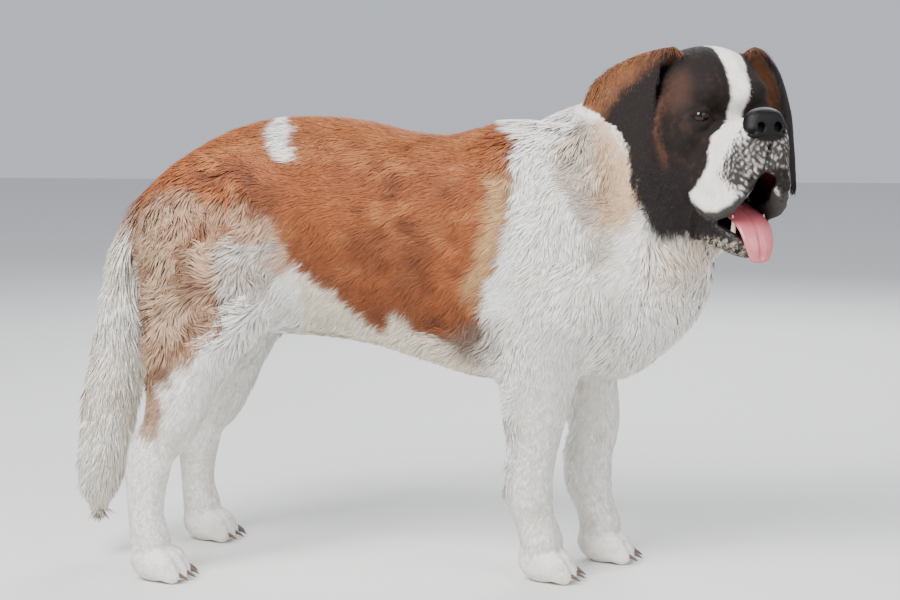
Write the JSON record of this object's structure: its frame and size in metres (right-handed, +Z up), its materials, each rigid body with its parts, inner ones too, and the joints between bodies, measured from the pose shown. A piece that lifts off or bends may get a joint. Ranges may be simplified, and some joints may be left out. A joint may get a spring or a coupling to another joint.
{
  "type": "saint bernard dog",
  "caption": "Life-size standing saint bernard, a heavy long-coated dog with its head turned to one side, mouth open and tongue out, bushy tail hanging.",
  "frame": {"origin": "on the ground under the middle of the dog's bounding box", "axes": "+X towards the dog's chest, +Y towards its left side, +Z up; the soles stand on z = 0"},
  "size_m": [1.2708, 0.4558, 0.9205],
  "materials": {
    "torso": "long soft coat, rust red with cream below",
    "neck": "long soft coat, cream white",
    "head": "short coat, dark mask with a white blaze and muzzle",
    "nose": "moist black skin",
    "eye": "wet, dark brown",
    "ear": "soft short coat, near black with a rust edge",
    "jaw": "short pale coat with a dark wet lip",
    "tongue": "moist pink",
    "foreleg": "short coat with feathering behind, cream white",
    "hindleg": "long coat on the thigh, tan and white",
    "tail": "long feathered coat, cream white"
  },
  "bodies": {
    "root": {"torso": "torso", "neck": "neck", "head": "head", "nose": "nose", "eye_right": "eye", "eye_left": "eye", "ear_right": "ear", "ear_left": "ear", "jaw": "jaw", "tongue": "tongue", "foreleg_right": "foreleg", "foreleg_left": "foreleg", "hindleg_right": "hindleg", "hindleg_left": "hindleg", "tail": "tail"}
  },
  "joints": []
}
